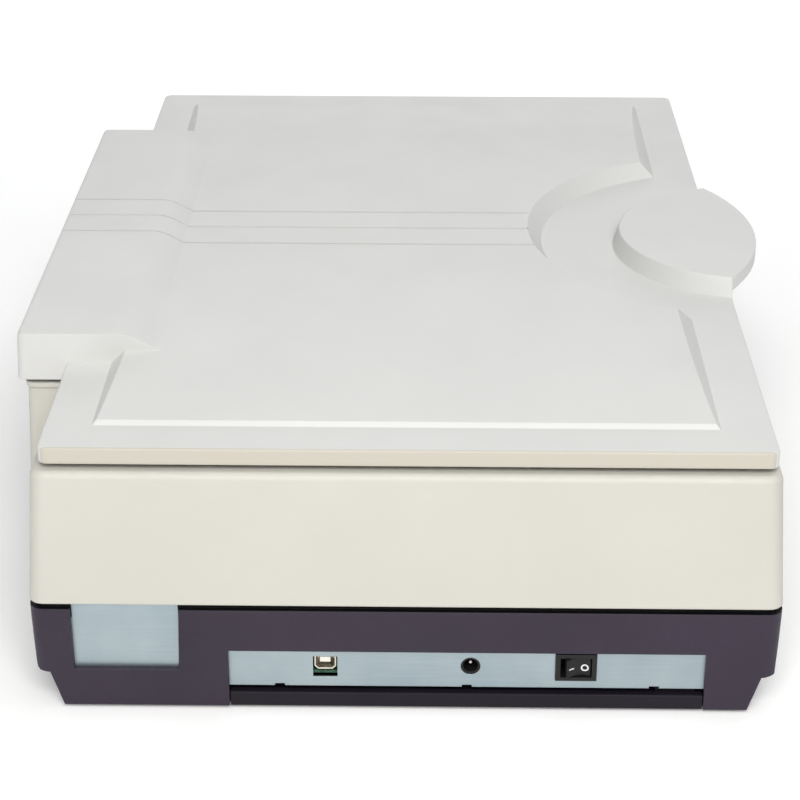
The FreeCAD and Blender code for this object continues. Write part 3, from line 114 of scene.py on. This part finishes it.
# ---- materials ----
class Shade:
    """A procedural material. Its textures lie in object coordinates, which are the frame's own metres."""

    def __init__(self, name):
        self.material = bpy.data.materials.new(name)
        self.material.use_nodes = True
        self.tree = self.material.node_tree
        self.shader = self.tree.nodes["Principled BSDF"]
        self.place = self.add("ShaderNodeTexCoord").outputs["Object"]

    def add(self, kind, inputs=None, **settings):
        """A new node, with its inputs fed and its settings made."""
        node = self.tree.nodes.new(kind)
        for key, value in settings.items():
            setattr(node, key, value)
        for key, value in (inputs or {}).items():
            self.feed(node.inputs[key], value)
        return node

    def feed(self, socket, value):
        """Link an input socket to value if that is a socket, or else set it to value."""
        if isinstance(value, bpy.types.NodeSocket):
            self.tree.links.new(value, socket)
        else:
            socket.default_value = value

    def calc(self, operation, *values):
        return self.add("ShaderNodeMath", dict(enumerate(values)), operation=operation).outputs[0]

    def stretched(self, stretch):
        """The place with each axis scaled by its share in stretch: under 1 draws a texture out along it."""
        return self.add("ShaderNodeMapping", {"Vector": self.place, "Scale": stretch}).outputs["Vector"]

    def noise(self, size, detail=2.0, stretch=None):
        """Soft noise from 0 to 1 whose lumps are about size across."""
        place = self.stretched(stretch) if stretch else self.place
        inputs = {"Vector": place, "Scale": 1 / size, "Detail": detail}
        return self.add("ShaderNodeTexNoise", inputs).outputs["Fac"]

    def cells(self, size, feature="F1"):
        """Distance from the middle or the edge of irregular cells about size across."""
        node = self.add("ShaderNodeTexVoronoi", {"Vector": self.place, "Scale": 1 / size}, feature=feature)
        return node.outputs["Distance"]

    def spread(self, value, low, high, start=0.3, end=0.7):
        """value's range start..end spread over low..high."""
        limits = {"From Min": start, "From Max": end, "To Min": low, "To Max": high}
        return self.add("ShaderNodeMapRange", {"Value": value, **limits}).outputs["Result"]

    def beyond(self, axis, limit):
        """1 where the distance from the middle along an axis is over limit, and 0 elsewhere."""
        along = self.add("ShaderNodeSeparateXYZ", {"Vector": self.place}).outputs[axis]
        return self.spread(self.calc("ABSOLUTE", along), 0.0, 1.0, start=limit, end=limit + PAINT_STEP)

    def groove_shade(self):
        """1 in the lid's engraved lines, where shade is painted, and 0 elsewhere."""
        place = self.add("ShaderNodeSeparateXYZ", {"Vector": self.place})
        past_recess = self.calc("GREATER_THAN", place.outputs["Y"], GROOVE_END_Y)
        lines = 0.0
        for x in GROOVE_X:
            line = self.calc("COMPARE", place.outputs["X"], x, GROOVE_HALF)
            lines = self.calc("ADD", line, lines)
        return self.calc("MULTIPLY", lines, past_recess)

    def mix(self, share, first, second):
        """Colour from first, where share is 0, to second, where it is 1."""
        node = self.add("ShaderNodeMix", data_type="RGBA")
        self.feed(node.inputs["Factor"], share)
        for socket, colour in ((node.inputs[6], first), (node.inputs[7], second)):
            self.feed(socket, colour if isinstance(colour, bpy.types.NodeSocket) else (*colour, 1.0))
        return node.outputs[2]

    def rounded(self, radius):
        """Normals that round off sharp edges by radius."""
        return self.add("ShaderNodeBevel", {"Radius": radius}, samples=4).outputs["Normal"]

    def edge_share(self, radius, most):
        """Up to most along sharp edges and 0 on open faces, from how far rounding bends the normal."""
        flat = self.add("ShaderNodeNewGeometry").outputs["Normal"]
        pair = {0: self.rounded(radius), 1: flat}
        bend = self.add("ShaderNodeVectorMath", pair, operation="DOT_PRODUCT").outputs["Value"]
        return self.spread(bend, most, 0.0, start=0.75, end=0.98)

    def bump(self, height, depth, normal=None):
        """Normals of a surface that height, from 0 to 1, raises by up to depth."""
        inputs = {"Height": height, "Distance": depth}
        if normal:
            inputs["Normal"] = normal
        return self.add("ShaderNodeBump", inputs).outputs["Normal"]

    def finish(self, colour, roughness, normal, **constants):
        """Wire the shader up; constants are its other inputs, with underscores in their names."""
        self.feed(self.shader.inputs["Base Color"], colour)
        self.feed(self.shader.inputs["Roughness"], roughness)
        self.feed(self.shader.inputs["Normal"], normal)
        for key, value in constants.items():
            self.shader.inputs[key.replace("_", " ").title().replace("Ior", "IOR")].default_value = value
        return self.material


def paler(colour, gain, lift=0.0):
    """A lighter version of a colour, short of pure white."""
    return [min(channel * gain + lift, BRIGHTEST) for channel in colour]


def moulded(name, colour, shade, roughness, grain, depth, edge, wear=0.25,
            shade_above=None, end_reflection=None, lines=None, **constants):
    """Moulded plastic: two close tones, spark-eroded grain, softened and slightly paler edges.

    grain and depth are the size and depth of the grain, edge is the radius of the softened edges and wear
    how pale they are. The other colours are painted light: the faces past LID_END_X can get a darker,
    warmer colour as a painted reflection with painted shade, the engraved lines a darker one as painted
    shade in the grooves, and above a given height the part is painted black as painted shade in the joint.
    """
    s = Shade(name)
    patches = s.spread(s.noise(90 * MM, detail=3.0), 0.0, 1.0)
    flecks = s.spread(s.noise(1.6 * grain, detail=1.0), 0.0, 0.35, start=0.35, end=0.75)
    paint = s.mix(flecks, s.mix(patches, colour, shade), shade)
    paint = s.mix(s.edge_share(edge, wear), paint, paler(colour, 1.18, 0.02))
    # Painted reflection and shade: the lid's end edges in a darker, warmer colour
    if end_reflection:
        paint = s.mix(s.beyond("X", LID_END_X), paint, end_reflection)
    # Painted shade in the engraved lines
    if lines:
        paint = s.mix(s.groove_shade(), paint, lines)
    # Painted shade: black above the given height, as the shadow inside the joint
    if shade_above:
        paint = s.mix(s.beyond("Z", shade_above), paint, JOINT_SHADE_BLACK)
    gloss = s.spread(s.noise(30 * MM, detail=4.0), roughness - 0.05, roughness + 0.06)
    normal = s.bump(s.noise(grain), depth, s.rounded(edge))
    return s.finish(paint, gloss, normal, **constants)


def rolled_sheet(name, colour, shade, roughness, metallic):
    """Zinc-plated sheet steel: faint rolling lines along Y, soft patches and tiny scratches."""
    s = Shade(name)
    patches = s.spread(s.noise(30 * MM, detail=4.0), 0.0, 1.0)
    lines = s.noise(1.2 * MM, stretch=(1.0, 0.03, 1.0))
    tone = s.mix(patches, colour, shade)
    paint = s.mix(s.spread(lines, 0.0, 0.3, start=0.45, end=0.8), tone, paler(colour, 1.25))
    gloss = s.spread(lines, roughness - 0.06, roughness + 0.08)
    normal = s.bump(lines, 0.03 * MM, s.rounded(0.3 * MM))
    return s.finish(paint, gloss, normal, metallic=metallic)


def turned_metal(name, colour, shade, roughness):
    """Bright machined metal with fine tool marks along X."""
    s = Shade(name)
    patches = s.spread(s.noise(10 * MM, detail=3.0), 0.0, 1.0)
    marks = s.noise(0.6 * MM, detail=3.0, stretch=(0.25, 1.0, 1.0))
    gloss = s.spread(marks, roughness - 0.05, roughness + 0.1)
    normal = s.bump(marks, 0.01 * MM, s.rounded(0.2 * MM))
    return s.finish(s.mix(patches, colour, shade), gloss, normal, metallic=1.0)


def rubber(name, colour, dusty, roughness=0.75):
    """Rubber with a dull dusty bloom and a fine pore."""
    s = Shade(name)
    bloom = s.spread(s.noise(8 * MM, detail=5.0), 0.0, 0.8, start=0.4, end=0.75)
    gloss = s.spread(s.noise(4 * MM, detail=3.0), roughness - 0.1, roughness + 0.12)
    pores = s.bump(s.noise(0.5 * MM), 0.04 * MM, s.rounded(0.3 * MM))
    return s.finish(s.mix(bloom, colour, dusty), gloss, pores)


def board_green(name):
    """Circuit board: solder mask over copper tracks, with a fine glass weave beneath."""
    mask = (0.006, 0.042, 0.020)
    over_copper = (0.016, 0.095, 0.045)
    s = Shade(name)
    tracks = s.spread(s.cells(4 * MM, "DISTANCE_TO_EDGE"), 1.0, 0.0, start=0.04, end=0.07)
    gloss = s.spread(s.noise(5 * MM, detail=3.0), 0.22, 0.38)
    weave = s.bump(s.noise(0.9 * MM, detail=1.0), 0.02 * MM, s.rounded(0.2 * MM))
    return s.finish(s.mix(tracks, mask, over_copper), gloss, s.bump(tracks, 0.03 * MM, weave))


def sheet_glass(name):
    """Slightly green float glass, with a trace of dust."""
    clear = (0.93, 0.975, 0.96)
    dusty = (0.80, 0.82, 0.80)
    s = Shade(name)
    dust = s.spread(s.noise(1.6 * MM, detail=5.0), 0.0, 0.12, start=0.55, end=0.8)
    gloss = s.spread(s.noise(20 * MM, detail=4.0), 0.01, 0.05)
    waves = s.bump(s.noise(50 * MM, detail=1.0), 0.01 * MM)
    return s.finish(s.mix(dust, clear, dusty), gloss, waves, transmission_weight=1.0, ior=1.5)


def coil_black(name):
    """Black lacquered motor can with a satin crackle."""
    lacquer = (0.020, 0.020, 0.022)
    worn = (0.055, 0.055, 0.06)
    s = Shade(name)
    crackle = s.cells(1.2 * MM)
    paint = s.mix(s.spread(crackle, 0.0, 1.0, start=0.1, end=0.7), lacquer, worn)
    gloss = s.spread(s.noise(4 * MM, detail=3.0), 0.32, 0.5)
    return s.finish(paint, gloss, s.bump(crackle, 0.05 * MM, s.rounded(0.3 * MM)))


def milky(name, colour, cloud, roughness=0.25, **constants):
    """Translucent or coated light part with soft cloudiness."""
    s = Shade(name)
    clouds = s.spread(s.noise(6 * MM, detail=3.0), 0.0, 1.0)
    gloss = s.spread(s.noise(3 * MM), roughness - 0.05, roughness + 0.08)
    return s.finish(s.mix(clouds, colour, cloud), gloss, s.bump(s.noise(2 * MM), 0.02 * MM), **constants)


def foam(name):
    """Closed-cell foam: tiny pits between round cells."""
    skin = (0.80, 0.80, 0.78)
    pit = (0.66, 0.66, 0.64)
    s = Shade(name)
    pits = s.cells(0.9 * MM)
    paint = s.mix(s.spread(pits, 0.0, 1.0, start=0.2, end=0.8), skin, pit)
    gloss = s.spread(s.noise(4 * MM), 0.75, 0.95)
    return s.finish(paint, gloss, s.bump(pits, 0.3 * MM))


def vinyl(name):
    """White embossed sheet on the document pad."""
    white = (0.86, 0.86, 0.85)
    shade = (0.81, 0.81, 0.80)
    s = Shade(name)
    patches = s.spread(s.noise(50 * MM, detail=4.0), 0.0, 1.0)
    gloss = s.spread(s.noise(10 * MM, detail=3.0), 0.35, 0.5)
    emboss = s.bump(s.cells(1.6 * MM, "SMOOTH_F1"), 0.06 * MM)
    return s.finish(s.mix(patches, white, shade), gloss, emboss)


def mark_white(name):
    """White plastic of the marks on the power switch."""
    return moulded(name, (0.78, 0.80, 0.80), (0.66, 0.68, 0.68), roughness=0.5,
                   grain=0.2 * MM, depth=0.01 * MM, edge=0.1 * MM)


def studio_paper(name):
    """White sweep paper that glows a little, so that it stays near white behind the object."""
    s = Shade(name)
    paint = s.mix(s.spread(s.noise(700 * MM), 0.0, 1.0), (0.93, 0.93, 0.93), (0.91, 0.91, 0.91))
    gloss = s.spread(s.noise(100 * MM), 0.75, 0.9)
    tooth = s.bump(s.noise(2 * MM), 0.05 * MM)
    return s.finish(paint, gloss, tooth, emission_color=(1.0, 1.0, 1.0, 1.0), emission_strength=0.12)


# Each material slot of the record: two close colours, and the sizes of grain and edges where it is moulded
SLOTS = {
    "housing_light": lambda n: moulded(
        n, (0.568, 0.556, 0.502), (0.540, 0.529, 0.476), roughness=0.48,
        grain=0.5 * MM, depth=0.05 * MM, edge=1.2 * MM),
    "lid_light": lambda n: moulded(
        n, (0.655, 0.655, 0.640), (0.625, 0.625, 0.612), roughness=0.45,
        grain=0.5 * MM, depth=0.05 * MM, edge=0.9 * MM,
        # painted reflection and shade on the end edges, painted shade in the engraved lines
        end_reflection=(0.515, 0.482, 0.415), lines=(0.36, 0.36, 0.35)),
    "base_dark": lambda n: moulded(
        n, (0.036, 0.026, 0.045), (0.025, 0.018, 0.032), roughness=0.5,
        grain=0.6 * MM, depth=0.12 * MM, edge=1.0 * MM, wear=0.6,
        # painted shade: black inside the joint between the housings
        shade_above=JOINT_SHADE_Z, specular_ior_level=0.3),
    "sill_dark": lambda n: moulded(
        n, (0.013, 0.010, 0.017), (0.009, 0.007, 0.012), roughness=0.5,
        grain=0.6 * MM, depth=0.09 * MM, edge=0.8 * MM, wear=0.4, specular_ior_level=0.2),
    "sheet_steel": lambda n: rolled_sheet(
        n, (0.39, 0.46, 0.49), (0.33, 0.40, 0.44), roughness=0.36, metallic=0.9),
    "connector_shell": lambda n: turned_metal(n, (0.78, 0.74, 0.66), (0.68, 0.64, 0.55), roughness=0.28),
    "connector_insulator": lambda n: moulded(
        n, (0.80, 0.78, 0.70), (0.72, 0.70, 0.62), roughness=0.4,
        grain=0.3 * MM, depth=0.02 * MM, edge=0.3 * MM),
    "black_plastic": lambda n: moulded(
        n, (0.008, 0.007, 0.008), (0.013, 0.012, 0.013), roughness=0.45,
        grain=0.4 * MM, depth=0.03 * MM, edge=0.4 * MM, wear=0.3, specular_ior_level=0.3),
    "circuit_board": board_green,
    "capacitor_can": lambda n: turned_metal(n, (0.72, 0.72, 0.74), (0.60, 0.60, 0.62), roughness=0.3),
    "white_plastic": lambda n: moulded(
        n, (0.80, 0.80, 0.77), (0.74, 0.74, 0.71), roughness=0.42,
        grain=0.5 * MM, depth=0.03 * MM, edge=0.5 * MM),
    "platen_glass": sheet_glass,
    "gasket_black": lambda n: rubber(n, (0.018, 0.018, 0.018), (0.05, 0.05, 0.05)),
    "rubber_black": lambda n: rubber(n, (0.022, 0.022, 0.023), (0.07, 0.07, 0.068)),
    "foam_white": foam,
    "steel_bright": lambda n: turned_metal(n, (0.66, 0.66, 0.67), (0.56, 0.56, 0.58), roughness=0.25),
    "fastener_steel": lambda n: turned_metal(n, (0.52, 0.52, 0.53), (0.40, 0.40, 0.42), roughness=0.35),
    "brass": lambda n: turned_metal(n, (0.74, 0.55, 0.24), (0.60, 0.42, 0.17), roughness=0.3),
    "nylon": lambda n: moulded(
        n, (0.78, 0.76, 0.68), (0.72, 0.70, 0.62), roughness=0.36,
        grain=0.6 * MM, depth=0.02 * MM, edge=0.4 * MM),
    "motor_black": coil_black,
    "belt_rubber": lambda n: rubber(n, (0.020, 0.020, 0.021), (0.045, 0.045, 0.045), roughness=0.65),
    "bronze": lambda n: turned_metal(n, (0.55, 0.34, 0.17), (0.42, 0.25, 0.12), roughness=0.42),
    "lamp_white": lambda n: milky(n, (0.88, 0.88, 0.86), (0.78, 0.78, 0.76)),
    "mirror": lambda n: turned_metal(n, (0.90, 0.91, 0.93), (0.84, 0.85, 0.88), roughness=0.06),
    "lamp_reflector": lambda n: turned_metal(n, (0.84, 0.84, 0.85), (0.75, 0.75, 0.77), roughness=0.16),
    "light_pipe": lambda n: milky(
        n, (0.55, 0.80, 0.55), (0.42, 0.70, 0.45), roughness=0.2, transmission_weight=0.5),
    "ceramic_grey": lambda n: moulded(
        n, (0.20, 0.20, 0.215), (0.15, 0.15, 0.16), roughness=0.3,
        grain=0.3 * MM, depth=0.01 * MM, edge=0.3 * MM),
}


def paint_nodes():
    """Give every CAD node its record slot's material, and the sill bar a darker one of its own."""
    slots = {part["node"]: part["material_slot"] for part in frame["record"]["subparts"]}
    slots["io_sill_bar"] = "sill_dark"
    made = {slot: SLOTS[slot](slot) for slot in sorted(set(slots.values()))}
    for name, obj in nodes.items():
        obj.data.materials.clear()
        obj.data.materials.append(made[slots[name]])


def smoothing_group():
    """Geometry nodes that join a mesh along its faces' shared edges and keep only real creases sharp."""
    group = bpy.data.node_groups.new("smooth_by_angle", "GeometryNodeTree")
    group.interface.new_socket("Geometry", in_out="INPUT", socket_type="NodeSocketGeometry")
    group.interface.new_socket("Geometry", in_out="OUTPUT", socket_type="NodeSocketGeometry")
    start = group.nodes.new("NodeGroupInput")
    weld = group.nodes.new("GeometryNodeMergeByDistance")
    weld.inputs["Distance"].default_value = WELD
    plain = group.nodes.new("GeometryNodeRemoveAttribute")
    plain.inputs["Name"].default_value = "custom_normal"
    faces = group.nodes.new("GeometryNodeSetShadeSmooth")
    joined = group.nodes.new("GeometryNodeSetShadeSmooth")
    joined.domain = "EDGE"
    angle = group.nodes.new("GeometryNodeInputMeshEdgeAngle")
    bent = group.nodes.new("ShaderNodeMath")
    bent.operation = "GREATER_THAN"
    bent.inputs[1].default_value = CREASE
    creased = group.nodes.new("GeometryNodeSetShadeSmooth")
    creased.domain = "EDGE"
    creased.inputs["Shade Smooth"].default_value = False
    end = group.nodes.new("NodeGroupOutput")
    chain = [start, weld, plain, faces, joined, creased, end]
    for first, second in zip(chain, chain[1:]):
        group.links.new(first.outputs[0], second.inputs[0])
    group.links.new(angle.outputs["Unsigned Angle"], bent.inputs[0])
    group.links.new(bent.outputs[0], creased.inputs["Selection"])
    return group


def smooth_nodes():
    """Shade every CAD node smooth across tangent faces, with large flat faces kept flat."""
    group = smoothing_group()
    for obj in nodes.values():
        obj.modifiers.new("smooth_by_angle", "NODES").node_group = group
        weighted = obj.modifiers.new("flat_faces_first", "WEIGHTED_NORMAL")
        weighted.keep_sharp = True
        weighted.weight = FLAT_WEIGHT


# ---- pieces built here ----
def new_piece(name, mesh, material, body):
    """A piece made in this script: painted and carried by a body."""
    obj = bpy.data.objects.new(name, mesh)
    bpy.context.scene.collection.objects.link(obj)
    mesh.materials.append(material)
    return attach(obj, body)


def rounded_outline(half_x, half_y, radius, steps):
    """Points round a rectangle with round corners, anticlockwise about the origin."""
    points = []
    for turn, (sx, sy) in enumerate(((1, 1), (-1, 1), (-1, -1), (1, -1))):
        for step in range(steps + 1):
            angle = math.pi / 2 * (turn + step / steps)
            x = sx * (half_x - radius) + radius * math.cos(angle)
            y = sy * (half_y - radius) + radius * math.sin(angle)
            points.append(Vector((x, y, 0)))
    return points


def baked(name, bm, smooth):
    """The finished mesh of a bmesh, with its faces all turned outwards."""
    bmesh.ops.recalc_face_normals(bm, faces=bm.faces)
    mesh = bpy.data.meshes.new(name)
    bm.to_mesh(mesh)
    bm.free()
    for face in mesh.polygons:
        face.use_smooth = smooth
    return mesh


def lofted(name, loops):
    """Smooth closed mesh through loops of equally many points."""
    bm = bmesh.new()
    rings = [[bm.verts.new(point) for point in loop] for loop in loops]
    for low, high in zip(rings, rings[1:]):
        for i in range(len(low)):
            j = (i + 1) % len(low)
            bm.faces.new((low[i], low[j], high[j], high[i]))
    bm.faces.new(rings[-1])
    bm.faces.new(list(reversed(rings[0])))
    return baked(name, bm, smooth=True)


def document_pad():
    """Foam pad faced with an embossed white sheet, in the space of its CAD solid."""
    low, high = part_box("document_pad")
    centre = (low + high) / 2
    half_x = (high.x - low.x) / 2
    half_y = (high.y - low.y) / 2
    face_z = low.z + PAD_SHEET

    def outline(inset):
        """The CAD solid's outline, drawn in by inset."""
        return rounded_outline(half_x - inset, half_y - inset, PAD_CORNER, PAD_CORNER_STEPS)

    def ring(points, z, share=1.0):
        """Points scaled about the pad's middle and set at height z."""
        return [Vector((centre.x, centre.y, z)) + point * share for point in points]

    # The foam's sides pull in between its two edges: how far in, at which height
    sides = (
        (0.6 * MM, high.z),
        (0.4 * MM, high.z - PAD_SEAM),
        (1.1 * MM, (high.z + face_z) / 2),
        (0.5 * MM, face_z + PAD_SEAM),
        (0.9 * MM, face_z),
    )
    foam_mesh = lofted("pad_foam", [ring(outline(inset), z) for inset, z in sides])
    body = new_piece("pad_foam", foam_mesh, foam("pad_foam"), "lid")
    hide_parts("document_pad")

    # The sheet's edge bulges a little on its way down from the foam
    edge = ((0.6 * MM, 0.0), (0.1 * MM, 0.1 * MM), (0.1 * MM, 0.3 * MM), (0.5 * MM, SHEET_THICK))
    rings = [ring(outline(inset), face_z - down) for inset, down in edge]
    rim = outline(edge[-1][0])
    for share in (0.98, 0.9, 0.75, 0.5, 0.25, 0.05):
        sag = SHEET_SAG * (1 - share ** 4)
        rings.append(ring(rim, face_z - SHEET_THICK - sag, share))
    sheet_mesh = lofted("pad_face_sheet", rings)
    sheet = new_piece("pad_face_sheet", sheet_mesh, vinyl("pad_face_sheet"), "lid")


def raised_mark(name, path, closed, half_width):
    """Thin moulded stroke that follows path, a list of (place, normal)."""
    count = len(path)
    bm = bmesh.new()
    sections = []
    for i, (place, normal) in enumerate(path):
        ahead = path[(i + 1) % count][0] if closed or i + 1 < count else place
        behind = path[i - 1][0] if closed or i else place
        side = (ahead - behind).normalized().cross(normal)
        out = [place + side * (a * half_width) + normal * (b * MARK_HEIGHT) for a, b in STROKE_SECTION]
        sections.append([bm.verts.new(point) for point in out])
    links = list(zip(sections, sections[1:])) + ([(sections[-1], sections[0])] if closed else [])
    for first, second in links:
        for i in range(len(first)):
            j = (i + 1) % len(first)
            bm.faces.new((first[i], first[j], second[j], second[i]))
    if not closed:
        bm.faces.new(sections[0])
        bm.faces.new(sections[-1])
    return baked(name, bm, smooth=False)


def rocker_marks():
    """White on and off marks on the two halves of the power switch's rocker."""
    rocker = nodes["switch_rocker"]
    low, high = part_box("switch_rocker")
    middle = (low + high) / 2
    level = middle.z - MARK_DROP
    outside = low.x - 10 * MM
    white = mark_white("mark_white")

    def on_face(y, z):
        """Where a ray from outside the end wall meets the rocker, and the face's normal there."""
        _, place, normal, _ = rocker.ray_cast(Vector((outside, y, z)), Vector((1, 0, 0)))
        return place, normal

    def mark(name, path, closed, half_width):
        """A raised mark of its own that turns with the rocker."""
        new_piece(name, raised_mark(name, path, closed, half_width), white, "rocker")

    ring = []
    for i in range(OFF_RING_POINTS):
        angle = 2 * math.pi * i / OFF_RING_POINTS
        across = OFF_RING_RADIUS * math.cos(angle)
        ring.append(on_face(middle.y + OFF_RING_Y + across, level + OFF_RING_RADIUS * math.sin(angle)))
    line = [on_face(middle.y + ON_LINE_Y + along, level) for along in ON_LINE_POINTS]
    mark("rocker_off_mark", ring, True, OFF_RING_HALF)
    mark("rocker_on_mark", line, False, ON_LINE_HALF)


# ---- floor, light and camera ----
def studio():
    """Pale sweep: floor at z = 0 that curves up into a wall behind the object."""
    bend_x = SWEEP_BACK - SWEEP_BEND
    profile = [Vector((SWEEP_FRONT, 0, 0)), Vector((bend_x, 0, 0))]
    for step in range(1, SWEEP_BEND_STEPS + 1):
        angle = math.pi / 2 * step / SWEEP_BEND_STEPS
        rise = SWEEP_BEND * (1 - math.cos(angle))
        profile.append(Vector((bend_x + SWEEP_BEND * math.sin(angle), 0, rise)))
    profile.append(Vector((SWEEP_BACK, 0, SWEEP_TOP)))
    bm = bmesh.new()
    sides = (-SWEEP_HALF_WIDTH, SWEEP_HALF_WIDTH)
    left, right = [[bm.verts.new(point + Vector((0, y, 0))) for point in profile] for y in sides]
    for i in range(len(profile) - 1):
        bm.faces.new((left[i], left[i + 1], right[i + 1], right[i]))
    mesh = baked("studio_floor", bm, smooth=True)
    mesh.materials.append(studio_paper("studio_paper"))
    floor = bpy.data.objects.new("studio_floor", mesh)
    bpy.context.scene.collection.objects.link(floor)


def area_light(name, place, target, size, watts, colour):
    """Rectangular lamp at place that shines towards target."""
    lamp = bpy.data.lights.new(name, "AREA")
    lamp.shape = "RECTANGLE"
    lamp.size, lamp.size_y = size
    lamp.energy = watts
    lamp.color = colour
    obj = bpy.data.objects.new(name, lamp)
    obj.location = place
    obj.rotation_euler = (Vector(target) - Vector(place)).to_track_quat("-Z", "Y").to_euler()
    bpy.context.scene.collection.objects.link(obj)


def lights():
    """Soft light all round, a key over the connector end, fills from above and from the hinge side, and
    one on the wall behind.
    """
    world = bpy.data.worlds.new("studio_air")
    world.use_nodes = True
    air = world.node_tree.nodes["Background"]
    air.inputs["Color"].default_value = (0.95, 0.97, 1.0, 1.0)
    air.inputs["Strength"].default_value = 0.28
    bpy.context.scene.world = world
    area_light("key", (-1.72, -0.10, 1.60), target=(-0.15, 0.0, 0.1), size=(1.3, 1.0),
               watts=40.0, colour=(1.0, 0.99, 0.965))
    area_light("top", (-0.2, -0.5, 2.2), target=(-0.1, 0.0, 0.1), size=(1.6, 1.4),
               watts=10.0, colour=(0.98, 0.99, 1.0))
    area_light("side", (-1.9, 0.9, 0.5), target=(-0.2, 0.0, 0.08), size=(0.7, 0.7),
               watts=2.5, colour=(1.0, 0.97, 0.92))
    area_light("backdrop", (1.2, 0.0, 1.6), target=(2.9, 0.0, 0.4), size=(2.4, 0.6),
               watts=30.0, colour=(1.0, 1.0, 1.0))


def camera():
    """The view from above the connector end, along the length of the scanner."""
    lens = bpy.data.cameras.new("photo_view")
    lens.lens = CAMERA_LENS
    lens.sensor_width = CAMERA_SENSOR
    lens.clip_start = CAMERA_NEAR
    flat = math.cos(CAMERA_PITCH)
    forward = Vector((math.cos(CAMERA_YAW) * flat, math.sin(CAMERA_YAW) * flat, -math.sin(CAMERA_PITCH)))
    right = Vector((math.sin(CAMERA_YAW), -math.cos(CAMERA_YAW), 0))
    level = Matrix((right, right.cross(forward), -forward)).transposed()
    turned = level @ Matrix.Rotation(-CAMERA_ROLL, 3, "Z")
    obj = bpy.data.objects.new("photo_view", lens)
    obj.matrix_world = Matrix.Translation(CAMERA_PLACE) @ turned.to_4x4()
    bpy.context.scene.collection.objects.link(obj)
    bpy.context.scene.camera = obj
    bpy.context.scene.view_settings.view_transform = "Standard"


paint_nodes()
smooth_nodes()
document_pad()
rocker_marks()
studio()
lights()
camera()
